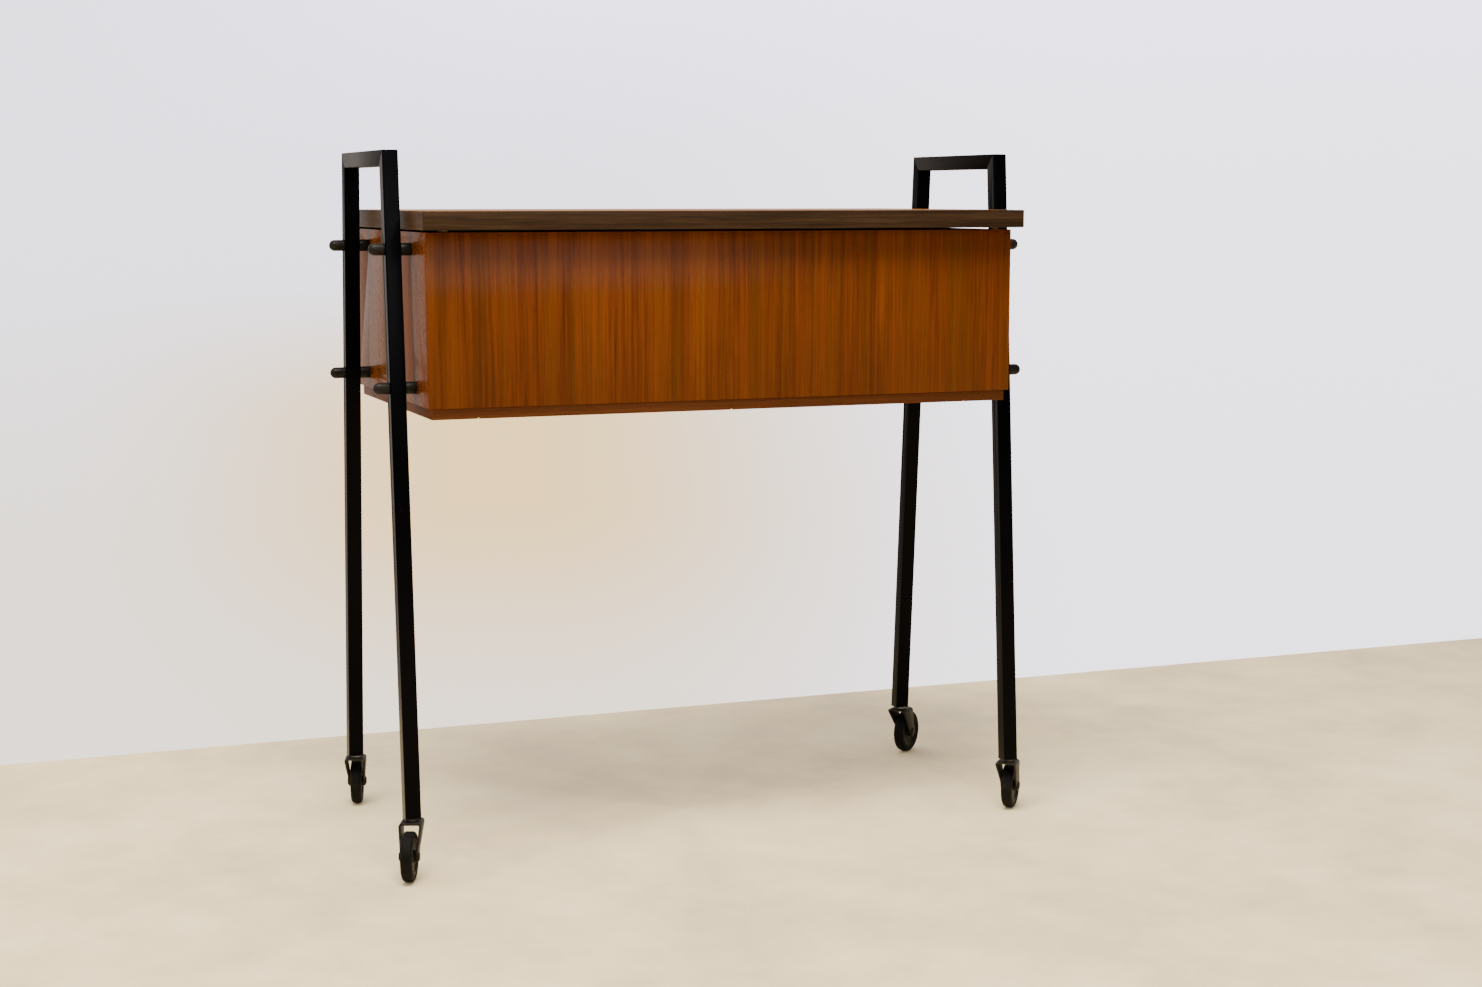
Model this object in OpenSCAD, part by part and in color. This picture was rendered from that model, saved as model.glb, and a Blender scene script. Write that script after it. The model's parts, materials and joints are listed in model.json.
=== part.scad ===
// Sewing trolley: a closed wooden case with a hinged lid and two sliding trays,
// hung between two black tube trestles that stand on four swivel casters.
// X runs along the case, -Y is the front, Z is up from the floor.

/* [Case] */
// Length of the case over its side panels
case_l = 630; // [420:1:800]
// Depth of the case over its front and back panels
case_d = 328; // [250:1:420]
// Height of the four panels
case_h = 170; // [135:1:260]
// Height of the panels' lower edge above the floor
case_z = 470; // [250:1:620]
// Thickness of the four panels
panel_t = 12; // [10:0.5:18]
// Thickness of the bottom board
bottom_t = 11; // [8:0.5:18]
// How far the bottom board stands back behind the side panels
bottom_inset_x = 4; // [0:0.5:6]
// How far the bottom board stands back behind the front and back panels
bottom_inset_y = 3.5; // [0:0.5:6]

/* [Lid] */
// Thickness of the lid
lid_t = 18.2; // [15:0.1:25]
// How far the lid overhangs each side panel
lid_over_x = 6; // [2:0.5:8]
// How far the lid overhangs the front and the back panel
lid_over_y = 18; // [10:0.5:24]
// Thickness of the solid wood edging
lipping_t = 5; // [3:0.5:8]

/* [Hinges] */
// Length of one hinge
hinge_l = 65; // [40:1:90]
// Distance from the middle of the case to the middle of a hinge
hinge_x = 205; // [120:1:260]
// Thickness of a hinge leaf
leaf_t = 1.1; // [0.9:0.1:1.5]
// Radius of the hinge knuckle
knuckle_r = 2.4; // [2:0.1:3]
// Radius of the hinge pin
pin_r = 1.2; // [1:0.1:1.4]

/* [Trays] */
// Height of the upper tray
upper_tray_h = 40; // [30:1:48]
// Height of the lower tray
lower_tray_h = 42; // [30:1:50]
// Thickness of the tray sides and ends
tray_side_t = 6; // [4:0.5:9]
// Thickness of the tray bottoms
tray_bottom_t = 3; // [2:0.5:6]
// Thickness of the tray dividers
divider_t = 4; // [2.5:0.5:6]
// How far the upper runners stand out from the panels
upper_runner_w = 8; // [7:0.5:12]
// How far the lower runners stand out from the panels
lower_runner_w = 16; // [16:0.5:24]
// Height of the runners
runner_h = 10; // [6:0.5:14]
// Gap left between the two trays when each is at its own end
tray_mid_gap = 27; // [10:1:60]
// Diameter of a spool pin
spool_pin_d = 5; // [4:0.5:8]

/* [Stand] */
// Side of the square tube
tube = 16; // [14:0.5:25]
// Wall of the square tube
tube_wall = 1.5; // [1:0.1:2]
// Rounding of the tube's long edges
tube_r = 1.4; // [0.5:0.1:2.5]
// Free height for a hand between the lid and the handle bar
handle_gap = 43.4; // [30:0.2:120]
// Depth of a trestle over its legs at the handle bar
stand_top_d = 200; // [150:1:240]
// Depth of a trestle over its legs at the floor end
stand_foot_d = 296; // [250:1:400]
// Gap between the side panels and the trestles
stand_gap = 11; // [9:0.5:20]

/* [Pegs] */
// Height of the peg centres in from the panels' upper and lower edges
peg_inset = 17; // [12:0.5:30]
// Diameter of the spacer between the panel and the leg
spacer_d = 12.5; // [8:0.5:16]
// Diameter of the domed cap outside the leg
cap_d = 11.8; // [8:0.2:14]
// Length of the domed cap
cap_l = 15.5; // [12:0.5:24]
// Diameter of the bolt through panel, spacer and leg
bolt_d = 4; // [3:0.5:5]

/* [Casters] */
// Wheel diameter
wheel_d = 50; // [35:1:70]
// Width of the tyre
wheel_w = 12; // [10:0.5:18]
// Distance that a wheel trails behind its stem
trail = 18; // [12:0.5:26]
// Gap between the wheel and the top of the fork
fork_top_gap = 4.6; // [3:0.2:10]
// Thickness of the fork's steel
fork_t = 2.2; // [1.6:0.1:3]
// Radius of the fork's round ends
fork_end_r = 6; // [5:0.5:10]
// Outward lean of the fork's arms above the axle
fork_lean = 6; // [0:0.5:10]
// Diameter of the caster stem
stem_d = 7; // [6:0.5:8]
// Length of the stem inside the leg
stem_l = 30; // [20:1:40]
// Diameter of the wheel axle
axle_d = 5; // [4:0.5:6]
// Turn of the front left caster about its stem
turn_fl = 248; // [0:1:359]
// Turn of the front right caster about its stem
turn_fr = 50; // [0:1:359]
// Turn of the back left caster about its stem
turn_bl = 74; // [0:1:359]
// Turn of the back right caster about its stem
turn_br = 39; // [0:1:359]

/* [Hidden] */
$fn = 64;
eps = 0.01;
far = 2000;

// Clearances
fit_gap = 0.05;        // radial, turning pins and stems
hole_gap = 0.1;        // radial, bolts and screws
part_gap = 0.2;        // between faces that pass each other
tray_end_gap = 1.5;    // tray to side panel
tray_side_gap = 1.5;   // tray to the panels or runners beside it
hub_side_gap = 0.5;    // wheel hub to fork arm

// Case
inner_l = case_l - 2 * panel_t;
inner_d = case_d - 2 * panel_t;
rim_z = case_z + case_h;

// Lid, lifted off the rim by its two hinge leaves
lid_gap = 2 * leaf_t + part_gap;
lid_z = rim_z + lid_gap;
lid_top = lid_z + lid_t;
lid_l = case_l + 2 * lid_over_x;
lid_d = case_d + 2 * lid_over_y;
bumper_d = 10;
rim_felt_w = 8;
rim_felt_end = 2;       // from the ends of the felt strips to the hinges and the corners

// Hinges, with their pins just outside the back panel and just under the lid
pin_y = case_d / 2 + knuckle_r + part_gap;
pin_z = lid_z - knuckle_r - 0.1;
knuckles = 5;
knuckle_l = hinge_l / knuckles;
leaf_y = inner_d / 2;
leaf_end_y = pin_y - knuckle_r - 0.3;
leaf_screw_y = case_d / 2 - panel_t / 2;
leaf_screw_d = 2.5;
leaf_screw_head_d = 4.4;
leaf_screw_l = 13;
leaf_screws = [-0.36, 0, 0.36];

// Bottom screws
bottom_screw_d = 3.5;
bottom_screw_head_d = 7;
bottom_screw_l = 30;
bottom_screw_head_h = 2;

// Stand
tube_in = tube - 2 * tube_wall;
neck_h = 2;
foot_z = wheel_d + fork_top_gap + fork_t + neck_h;
flange_t = 1.6;
stand_h = lid_top + handle_gap + tube;
lean = atan((stand_foot_d - stand_top_d) / 2 / (stand_h - foot_z));
mitre_run = tube / tan((90 + lean) / 2);
stand_in_x = case_l / 2 + stand_gap;
stand_x = stand_in_x + tube / 2;
plug_l = stem_l + 6;

// Distance of a leg's centre line from the middle of the stand at height z
function leg_y(z) = stand_top_d / 2 + (stand_h - z) * tan(lean) - tube / 2 / cos(lean);

// Pegs
peg_low = case_z + peg_inset;
peg_high = rim_z - peg_inset;
bolt_head_d = 2 * bolt_d;
bolt_head_h = 2.2;
bolt_tip = 9;

// Casters
caster_y = leg_y(foot_z + stem_l / 2);
hub_w = wheel_w + 1;
fork_w = hub_w + 2 * hub_side_gap + 2 * fork_t;     // over the arms at the axle
fork_arm_l = 24;       // length of the top along the trail
fork_bend_r = 3.2;
fork_upright = 1;      // straight part of the arms below and above their lean
rim_r = wheel_d / 2 - 6;
axle_head_d = axle_d + 3.4;
axle_head_h = 1.2;

// Trays
tray_l = (inner_l - 2 * tray_end_gap - tray_mid_gap) / 2;
upper_tray_d = inner_d - 2 * tray_side_gap;
lower_tray_d = inner_d - 2 * upper_runner_w - 2;
upper_tray_z = rim_z - 4 - upper_tray_h;
lower_tray_z = upper_tray_z - runner_h - 14 - lower_tray_h;
tray_floor_up = 2;
divider_low = 5;
divider_gap = 0.1;     // where one divider butts against another
spool_pin_h = 27;
spool_pitch = 36;
spool_row_in = 24;
upper_tray_x = -inner_l / 2 + tray_end_gap + tray_l / 2;
lower_tray_x = -upper_tray_x;
tray_in_l = tray_l - 2 * tray_side_t;

// ---- Shared shapes ----

// A plate drawn as [y, z] points, centred on x with the given width
module slab_x(points, width) {
    rotate([90, 0, 90]) linear_extrude(width, center = true) polygon(points);
}

// A cylinder along +X from the origin
module rod_x(d, l) {
    rotate([0, 90, 0]) cylinder(d = d, h = l);
}

// A box centred in x and y that stands on z = 0
module block(x, y, z) {
    translate([-x / 2, -y / 2, 0]) cube([x, y, z]);
}

// A countersunk screw, its head's flat face at z = 0 and its shank going up
module screw_up(d, head_d, head_h, l, grow = 0) {
    cylinder(d1 = head_d + 2 * grow, d2 = d + 2 * grow, h = head_h);
    translate([0, 0, head_h - eps]) cylinder(d = d + 2 * grow, h = l - head_h + grow);
}

module rounded_square(w, r) {
    square([w, w - 2 * r], center = true);
    square([w - 2 * r, w], center = true);
    for (x = [-1, 1], y = [-1, 1])
        translate([x, y] * (w / 2 - r)) circle(r);
}

module tube_section() {
    difference() {
        rounded_square(tube, tube_r);
        square(tube_in, center = true);
    }
}

// ---- Stand ----

// Side view of all that lies on the leg's side of the mitre, down to height low
function leg_outline(low) = [
    [stand_top_d / 2 - 3 * mitre_run, low],
    [far, low],
    [far, stand_h + tube],
    [stand_top_d / 2 + mitre_run, stand_h + tube],
    [stand_top_d / 2 - 3 * mitre_run, stand_h - 3 * tube]
];

// Places a child on the back leg's leaning centre line, at the floor end
module on_leg_axis() {
    translate([0, leg_y(foot_z), foot_z]) rotate([lean, 0, 0]) children();
}

module peg_holes() {
    for (z = [peg_low, peg_high])
        translate([-tube, leg_y(z), z]) rod_x(bolt_d + 2 * hole_gap, 2 * tube);
}

module leg(side, end) {
    color([0.03, 0.03, 0.03])
        translate([side * stand_x, 0, 0]) mirror([0, end < 0 ? 1 : 0, 0])
            difference() {
                intersection() {
                    on_leg_axis() translate([0, 0, -tube])
                        linear_extrude(stand_h + tube) tube_section();
                    slab_x(leg_outline(foot_z + flange_t), 2 * tube);
                }
                peg_holes();
            }
}

module handle_bar(side) {
    half = stand_top_d / 2;
    color([0.03, 0.03, 0.03])
        translate([side * stand_x, 0, 0]) intersection() {
            translate([0, 0, stand_h - tube / 2]) rotate([90, 0, 0])
                linear_extrude(2 * stand_top_d, center = true) tube_section();
            slab_x([
                [-half + 2 * mitre_run, stand_h - 2 * tube],
                [half - 2 * mitre_run, stand_h - 2 * tube],
                [half + mitre_run, stand_h + tube],
                [-half - mitre_run, stand_h + tube]
            ], 2 * tube);
        }
}

// Plastic plugs in the leg ends, with an upright bore for the caster stem
module leg_sockets() {
    color([0.05, 0.05, 0.05])
        for (side = [-1, 1], end = [0, 1])
            translate([side * stand_x, 0, 0]) mirror([0, end, 0]) difference() {
                union() {
                    intersection() {
                        on_leg_axis() translate([0, 0, -tube])
                            block(tube_in - part_gap, tube_in - part_gap, plug_l + tube);
                        slab_x(leg_outline(foot_z), 2 * tube);
                    }
                    translate([0, leg_y(foot_z), foot_z]) block(tube, tube, flange_t);
                }
                translate([0, caster_y, foot_z - eps])
                    cylinder(d = stem_d + 2 * fit_gap, h = stem_l + 1);
            }
}

// ---- Pegs ----

// Repeats a child at the eight pegs, with +X pointing out of the case at the panel's inner face
module at_pegs() {
    for (side = [0, 1], end = [0, 1], z = [peg_low, peg_high])
        mirror([side, 0, 0]) mirror([0, end, 0])
            translate([inner_l / 2, leg_y(z), z]) children();
}

module bolt_shape(grow) {
    rotate([0, 90, 0]) cylinder(d1 = bolt_head_d + 2 * grow, d2 = bolt_d + 2 * grow, h = bolt_head_h);
    rod_x(bolt_d + 2 * grow, panel_t + stand_gap + tube + bolt_tip + grow);
}

module frame_bolts() {
    color([0.35, 0.35, 0.36]) at_pegs() bolt_shape(0);
}

module peg_spacers() {
    color([0.04, 0.04, 0.04]) at_pegs() translate([panel_t, 0, 0]) difference() {
        rod_x(spacer_d, stand_gap);
        translate([-1, 0, 0]) rod_x(bolt_d + 2 * hole_gap, stand_gap + 2);
    }
}

module peg_caps() {
    straight = cap_l - cap_d / 2;
    color([0.04, 0.04, 0.04]) at_pegs() translate([panel_t + stand_gap + tube, 0, 0])
        difference() {
            union() {
                rod_x(cap_d, straight);
                translate([straight, 0, 0]) sphere(d = cap_d);
            }
            translate([-cap_d, 0, 0]) cube([2 * cap_d, 4 * cap_d, 4 * cap_d], center = true);
            translate([-1, 0, 0]) rod_x(bolt_d + 2 * hole_gap, bolt_tip + 2);
        }
}

// ---- Case ----

module at_bottom_screws() {
    edge_x = (case_l - panel_t) / 2;
    edge_y = (case_d - panel_t) / 2;
    for (x = [-0.42, 0, 0.42], s = [-1, 1])
        translate([x * case_l, s * edge_y, case_z - bottom_t]) children();
    for (s = [-1, 1])
        translate([s * edge_x, 0, case_z - bottom_t]) children();
}

module bottom_screw_shape(grow) {
    screw_up(bottom_screw_d, bottom_screw_head_d, bottom_screw_head_h, bottom_screw_l, grow);
}

module bottom_screws() {
    color([0.6, 0.5, 0.3]) at_bottom_screws() bottom_screw_shape(0);
}

// A panel with mitred ends, seen from above: length along X, its outer face at y = depth / 2
module mitred_panel(length, depth) {
    translate([0, 0, case_z]) linear_extrude(case_h) polygon([
        [-length / 2, depth / 2],
        [length / 2, depth / 2],
        [length / 2 - panel_t, depth / 2 - panel_t],
        [-length / 2 + panel_t, depth / 2 - panel_t]
    ]);
}

module front_panel() {
    color([0.62, 0.34, 0.16]) difference() {
        mirror([0, 1, 0]) mitred_panel(case_l, case_d);
        at_bottom_screws() bottom_screw_shape(hole_gap);
    }
}

module back_panel() {
    color([0.62, 0.34, 0.16]) difference() {
        mitred_panel(case_l, case_d);
        at_bottom_screws() bottom_screw_shape(hole_gap);
        at_hinges() at_leaf_screws() translate([0, 0, rim_z])
            rotate([180, 0, 0]) cylinder(d = leaf_screw_d + 2 * hole_gap, h = leaf_screw_l + 1);
    }
}

module side_panel(side) {
    color([0.60, 0.33, 0.16]) difference() {
        rotate([0, 0, side < 0 ? 90 : -90]) mitred_panel(case_d, case_l);
        at_pegs() bolt_shape(hole_gap);
        at_bottom_screws() bottom_screw_shape(hole_gap);
    }
}

module bottom_board() {
    color([0.45, 0.22, 0.12]) difference() {
        translate([0, 0, case_z - bottom_t])
            block(case_l - 2 * bottom_inset_x, case_d - 2 * bottom_inset_y, bottom_t);
        translate([0, 0, -eps]) at_bottom_screws() bottom_screw_shape(hole_gap);
    }
}

module runners(width, top) {
    color([0.72, 0.55, 0.36])
        for (s = [-1, 1])
            translate([0, s * (inner_d - width) / 2, top - runner_h])
                block(inner_l - 2 * part_gap, width, runner_h);
}

// ---- Lid ----

module lid_core() {
    color([0.58, 0.32, 0.15]) difference() {
        translate([0, 0, lid_z]) block(lid_l - 2 * lipping_t, lid_d - 2 * lipping_t, lid_t);
        at_hinges() at_leaf_screws() translate([0, 0, lid_z])
            cylinder(d = leaf_screw_d + 2 * hole_gap, h = leaf_screw_l + 1);
    }
}

module lid_long_lipping(end) {
    color([0.30, 0.18, 0.10])
        translate([0, end * (lid_d - lipping_t) / 2, lid_z]) block(lid_l, lipping_t, lid_t);
}

module lid_end_lippings() {
    color([0.30, 0.18, 0.10])
        for (side = [-1, 1])
            translate([side * (lid_l - lipping_t) / 2, 0, lid_z])
                block(lipping_t, lid_d - 2 * lipping_t, lid_t);
}

module lid_bumpers() {
    color([0.16, 0.11, 0.08])
        for (side = [-1, 1])
            translate([side * (case_l / 2 - 1.5 * panel_t), -(case_d - panel_t) / 2, rim_z + part_gap])
                cylinder(d = bumper_d, h = lid_gap - part_gap);
}

module back_rim_felt() {
    inner_end = hinge_x - hinge_l / 2 - rim_felt_end;
    outer_from = hinge_x + hinge_l / 2 + rim_felt_end;
    outer_l = case_l / 2 - rim_felt_end - outer_from;
    color([0.16, 0.11, 0.08]) translate([0, (case_d - panel_t) / 2, rim_z]) {
        block(2 * inner_end, rim_felt_w, lid_gap - part_gap);
        for (side = [-1, 1])
            translate([side * (outer_from + outer_l / 2), 0, 0])
                block(outer_l, rim_felt_w, lid_gap - part_gap);
    }
}

// ---- Hinges ----

module at_hinges() {
    for (s = [-1, 1]) translate([s * hinge_x, 0, 0]) children();
}

module at_leaf_screws() {
    for (k = leaf_screws) translate([k * hinge_l, leaf_screw_y, 0]) children();
}

// One leaf: a plate from the case's inner face to the knuckles, and every second knuckle
module hinge_leaf(low, first) {
    difference() {
        union() {
            translate([-hinge_l / 2, leaf_y, low]) cube([hinge_l, leaf_end_y - leaf_y, leaf_t]);
            for (k = [first : 2 : knuckles - 1])
                translate([-hinge_l / 2 + k * knuckle_l + part_gap / 2, 0, 0]) {
                    translate([0, leaf_y, low])
                        cube([knuckle_l - part_gap, pin_y - leaf_y, leaf_t]);
                    translate([0, pin_y, pin_z]) rod_x(2 * knuckle_r, knuckle_l - part_gap);
                }
        }
        translate([-hinge_l, pin_y, pin_z]) rod_x(2 * (pin_r + fit_gap), 2 * hinge_l);
    }
}

module leaf_screw(grow = 0) {
    screw_up(leaf_screw_d, leaf_screw_head_d, leaf_t, leaf_screw_l, grow);
}

module hinge_box_leaves() {
    color([0.78, 0.62, 0.32]) at_hinges() difference() {
        hinge_leaf(rim_z, 0);
        at_leaf_screws() translate([0, 0, rim_z + leaf_t + eps]) rotate([180, 0, 0])
            leaf_screw(hole_gap);
    }
}

module hinge_lid_leaves() {
    color([0.78, 0.62, 0.32]) at_hinges() difference() {
        hinge_leaf(lid_z - leaf_t, 1);
        at_leaf_screws() translate([0, 0, lid_z - leaf_t - eps]) leaf_screw(hole_gap);
    }
}

module hinge_pins() {
    color([0.70, 0.56, 0.30]) at_hinges()
        translate([-hinge_l / 2 - 0.5, pin_y, pin_z]) rod_x(2 * pin_r, hinge_l + 1);
}

module hinge_box_screws() {
    color([0.72, 0.58, 0.30]) at_hinges() at_leaf_screws()
        translate([0, 0, rim_z + leaf_t]) rotate([180, 0, 0]) leaf_screw();
}

module hinge_lid_screws() {
    color([0.72, 0.58, 0.30]) at_hinges() at_leaf_screws()
        translate([0, 0, lid_z - leaf_t]) leaf_screw();
}

// ---- Trays ----

module tray_sides(x, z, depth, height) {
    color([0.80, 0.64, 0.43])
        for (s = [-1, 1])
            translate([x, s * (depth - tray_side_t) / 2, z]) block(tray_l, tray_side_t, height);
}

module tray_ends(x, z, depth, height) {
    color([0.80, 0.64, 0.43])
        for (s = [-1, 1])
            translate([x + s * (tray_l - tray_side_t) / 2, 0, z])
                block(tray_side_t, depth - 2 * tray_side_t, height);
}

module tray_bottom(x, z, depth, holes = false) {
    color([0.84, 0.70, 0.50]) difference() {
        translate([x, 0, z + tray_floor_up]) block(tray_in_l, depth - 2 * tray_side_t, tray_bottom_t);
        if (holes)
            translate([0, 0, z]) at_spool_pins() cylinder(d = spool_pin_d, h = 3 * tray_bottom_t);
    }
}

// A divider along X that starts at x0 and another along Y that starts at y0
module divider_x(x0, length, y, z, height) {
    translate([x0, y - divider_t / 2, z]) cube([length, divider_t, height]);
}

module divider_y(x, y0, length, z, height) {
    translate([x - divider_t / 2, y0, z]) cube([divider_t, length, height]);
}

// One long divider, two short ones in front of it and one behind it
module upper_tray_dividers() {
    half_d = upper_tray_d / 2 - tray_side_t;
    low = upper_tray_z + tray_floor_up + tray_bottom_t;
    height = upper_tray_h - tray_floor_up - tray_bottom_t - divider_low;
    short = half_d - divider_t / 2 - divider_gap;
    color([0.80, 0.64, 0.43]) {
        divider_x(upper_tray_x - tray_in_l / 2, tray_in_l, 0, low, height);
        for (k = [-1, 1])
            divider_y(upper_tray_x + k * tray_in_l / 6, -half_d, short, low, height);
        divider_y(upper_tray_x + tray_in_l / 4, half_d - short, short, low, height);
    }
}

// Two rows of pins for thread spools, in the long compartment at the back
module at_spool_pins() {
    room = tray_in_l * 3 / 4 - divider_t / 2;
    count = floor(room / spool_pitch);
    start = upper_tray_x - tray_in_l / 2 + room / 2 - (count - 1) * spool_pitch / 2;
    for (k = [0 : count - 1],
         y = [divider_t / 2 + spool_row_in, upper_tray_d / 2 - tray_side_t - spool_row_in])
        translate([start + k * spool_pitch, y, 0]) children();
}

module upper_tray_spool_pins() {
    color([0.86, 0.74, 0.55]) at_spool_pins() translate([0, 0, upper_tray_z + tray_floor_up]) {
        cylinder(d = spool_pin_d, h = spool_pin_h - spool_pin_d / 2);
        translate([0, 0, spool_pin_h - spool_pin_d / 2]) sphere(d = spool_pin_d);
    }
}

// One divider across the tray, and one along the larger part that it leaves
module lower_tray_dividers() {
    half_d = lower_tray_d / 2 - tray_side_t;
    low = lower_tray_z + tray_floor_up + tray_bottom_t;
    height = lower_tray_h - tray_floor_up - tray_bottom_t - divider_low;
    cross_x = lower_tray_x - tray_in_l / 6;
    start = cross_x + divider_t / 2 + divider_gap;
    color([0.80, 0.64, 0.43]) {
        divider_y(cross_x, -half_d, 2 * half_d, low, height);
        divider_x(start, lower_tray_x + tray_in_l / 2 - start, 0, low, height);
    }
}

// ---- Casters ----

// Places a child at a caster: origin on the floor under the stem, +X towards the wheel
module at_caster(side, end, turn) {
    translate([side * stand_x, end * caster_y, 0]) rotate([0, 0, turn]) children();
}

// Where the line from point p touches the round end of the fork, s picks the side
function touch(p, s) =
    let (v = p - [trail, wheel_d / 2], a = atan2(v[1], v[0]) + s * acos(fork_end_r / norm(v)))
    [trail, wheel_d / 2] + fork_end_r * [cos(a), sin(a)];

// A cylinder across the fork on the wheel's axis
module on_axle(d, w) {
    translate([trail, 0, wheel_d / 2]) rotate([90, 0, 0]) cylinder(d = d, h = w, center = true);
}

// End view of all that lies under a face of the fork's folded sheet, d in from its outside.
// The arms stand upright around the axle, lean out above it, and bend over into the top.
module under_fold(d) {
    high = foot_z - neck_h - fork_bend_r;
    knee = wheel_d / 2 + fork_end_r + fork_upright;
    shoulder = high - fork_upright;
    half = fork_w / 2 + (shoulder - knee) * tan(fork_lean);
    edge = [
        [fork_w / 2 - d, -1 - d],
        [fork_w / 2 - d, knee],
        [half - d, shoulder],
        [half - d, high]
    ];
    polygon(concat(edge, [for (k = [len(edge) - 1 : -1 : 0]) [-edge[k][0], edge[k][1]]]));
    translate([fork_bend_r - half, shoulder])
        square([2 * (half - fork_bend_r), high + fork_bend_r - d - shoulder]);
    for (s = [-1, 1]) translate([s * (half - fork_bend_r), high]) circle(fork_bend_r - d);
}

module caster_fork(side, end, turn) {
    top = foot_z - neck_h;
    back = [-fork_arm_l / 2, top];
    front = [fork_arm_l / 2, top];
    color([0.05, 0.05, 0.05]) at_caster(side, end, turn) difference() {
        intersection() {
            // Side view: the arms narrow from the top towards the axle
            rotate([90, 0, 0]) linear_extrude(2 * fork_w, center = true) {
                polygon([back, touch(back, 1), [trail, wheel_d / 2], touch(front, -1), front]);
                translate([trail, wheel_d / 2]) circle(fork_end_r);
            }
            // End view: the folded sheet
            rotate([90, 0, 90]) linear_extrude(8 * trail, center = true) difference() {
                under_fold(0);
                under_fold(fork_t);
            }
        }
        on_axle(axle_d + 2 * hole_gap, 2 * fork_w);
        translate([0, 0, top - 2 * fork_t]) cylinder(d = stem_d + 2 * hole_gap, h = 3 * fork_t);
    }
}

module caster_stem(side, end, turn) {
    top = foot_z - neck_h;
    rivet_h = 1.4;
    color([0.45, 0.45, 0.46]) at_caster(side, end, turn) {
        translate([0, 0, top - fork_t - rivet_h]) cylinder(d = stem_d + 3, h = rivet_h);
        translate([0, 0, top - fork_t - rivet_h / 2])
            cylinder(d = stem_d, h = fork_t + neck_h + stem_l + rivet_h / 2 - 2);
        translate([0, 0, top]) cylinder(d = stem_d + 5, h = neck_h - part_gap);
        translate([0, 0, foot_z + stem_l - 2]) cylinder(d1 = stem_d, d2 = stem_d - 2, h = 1.5);
    }
}

module caster_axle(side, end, turn) {
    color([0.10, 0.10, 0.10]) at_caster(side, end, turn) {
        on_axle(axle_d, fork_w + 1);
        for (s = [-1, 1])
            translate([0, s * (fork_w + axle_head_h) / 2, 0]) on_axle(axle_head_d, axle_head_h);
    }
}

// The wheel's solid centre: a boss on the axle, a slightly hollow web and a raised rim
module caster_hub(side, end, turn) {
    bore = axle_d / 2 + fit_gap;
    boss = axle_d / 2 + 3.5;
    rim = wheel_w / 2 - 0.6;
    web = wheel_w / 2 - 2;
    // Half section, as [radius, distance along the axle]
    face = [
        [bore, hub_w / 2],
        [boss, hub_w / 2],
        [boss + 1.5, web],
        [rim_r - 3.5, web],
        [rim_r - 2.5, rim],
        [rim_r, rim]
    ];
    color([0.06, 0.06, 0.06]) at_caster(side, end, turn)
        translate([trail, 0, wheel_d / 2]) rotate([90, 0, 0]) rotate_extrude() polygon(concat(
            face, [for (k = [len(face) - 1 : -1 : 0]) [face[k][0], -face[k][1]]]
        ));
}

module caster_tyre(side, end, turn) {
    shoulder = 3.4;
    color([0.04, 0.04, 0.04]) at_caster(side, end, turn)
        translate([trail, 0, wheel_d / 2]) rotate([90, 0, 0]) rotate_extrude($fn = 96) difference() {
            union() {
                translate([rim_r, -wheel_w / 2])
                    square([wheel_d / 2 - rim_r - shoulder, wheel_w]);
                translate([rim_r, -wheel_w / 2 + shoulder])
                    square([wheel_d / 2 - rim_r, wheel_w - 2 * shoulder]);
                for (s = [-1, 1])
                    translate([wheel_d / 2 - shoulder, s * (wheel_w / 2 - shoulder)])
                        circle(shoulder);
            }
            translate([0, -wheel_w]) square([rim_r, 2 * wheel_w]);
        }
}

// ---- Assembly ----

leg(-1, -1);  // left_front_leg
leg(-1, 1);  // left_back_leg
leg(1, -1);  // right_front_leg
leg(1, 1);  // right_back_leg
handle_bar(-1);  // left_handle_bar
handle_bar(1);  // right_handle_bar
leg_sockets();
front_panel();
back_panel();
side_panel(-1);  // left_side_panel
side_panel(1);  // right_side_panel
bottom_board();
bottom_screws();
runners(upper_runner_w, upper_tray_z);  // upper_runners
runners(lower_runner_w, lower_tray_z);  // lower_runners
frame_bolts();
peg_spacers();
peg_caps();
lid_core();
lid_long_lipping(-1);  // lid_front_lipping
lid_long_lipping(1);  // lid_back_lipping
lid_end_lippings();
hinge_lid_leaves();
hinge_box_leaves();
hinge_pins();
hinge_lid_screws();
hinge_box_screws();
lid_bumpers();
back_rim_felt();
tray_sides(upper_tray_x, upper_tray_z, upper_tray_d, upper_tray_h);  // upper_tray_sides
tray_ends(upper_tray_x, upper_tray_z, upper_tray_d, upper_tray_h);  // upper_tray_ends
tray_bottom(upper_tray_x, upper_tray_z, upper_tray_d, holes = true);  // upper_tray_bottom
upper_tray_dividers();
upper_tray_spool_pins();
tray_sides(lower_tray_x, lower_tray_z, lower_tray_d, lower_tray_h);  // lower_tray_sides
tray_ends(lower_tray_x, lower_tray_z, lower_tray_d, lower_tray_h);  // lower_tray_ends
tray_bottom(lower_tray_x, lower_tray_z, lower_tray_d);  // lower_tray_bottom
lower_tray_dividers();
caster_fork(-1, -1, turn_fl);  // caster_fl_fork
caster_stem(-1, -1, turn_fl);  // caster_fl_stem
caster_axle(-1, -1, turn_fl);  // caster_fl_axle
caster_hub(-1, -1, turn_fl);  // caster_fl_hub
caster_tyre(-1, -1, turn_fl);  // caster_fl_tyre
caster_fork(1, -1, turn_fr);  // caster_fr_fork
caster_stem(1, -1, turn_fr);  // caster_fr_stem
caster_axle(1, -1, turn_fr);  // caster_fr_axle
caster_hub(1, -1, turn_fr);  // caster_fr_hub
caster_tyre(1, -1, turn_fr);  // caster_fr_tyre
caster_fork(-1, 1, turn_bl);  // caster_bl_fork
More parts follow.
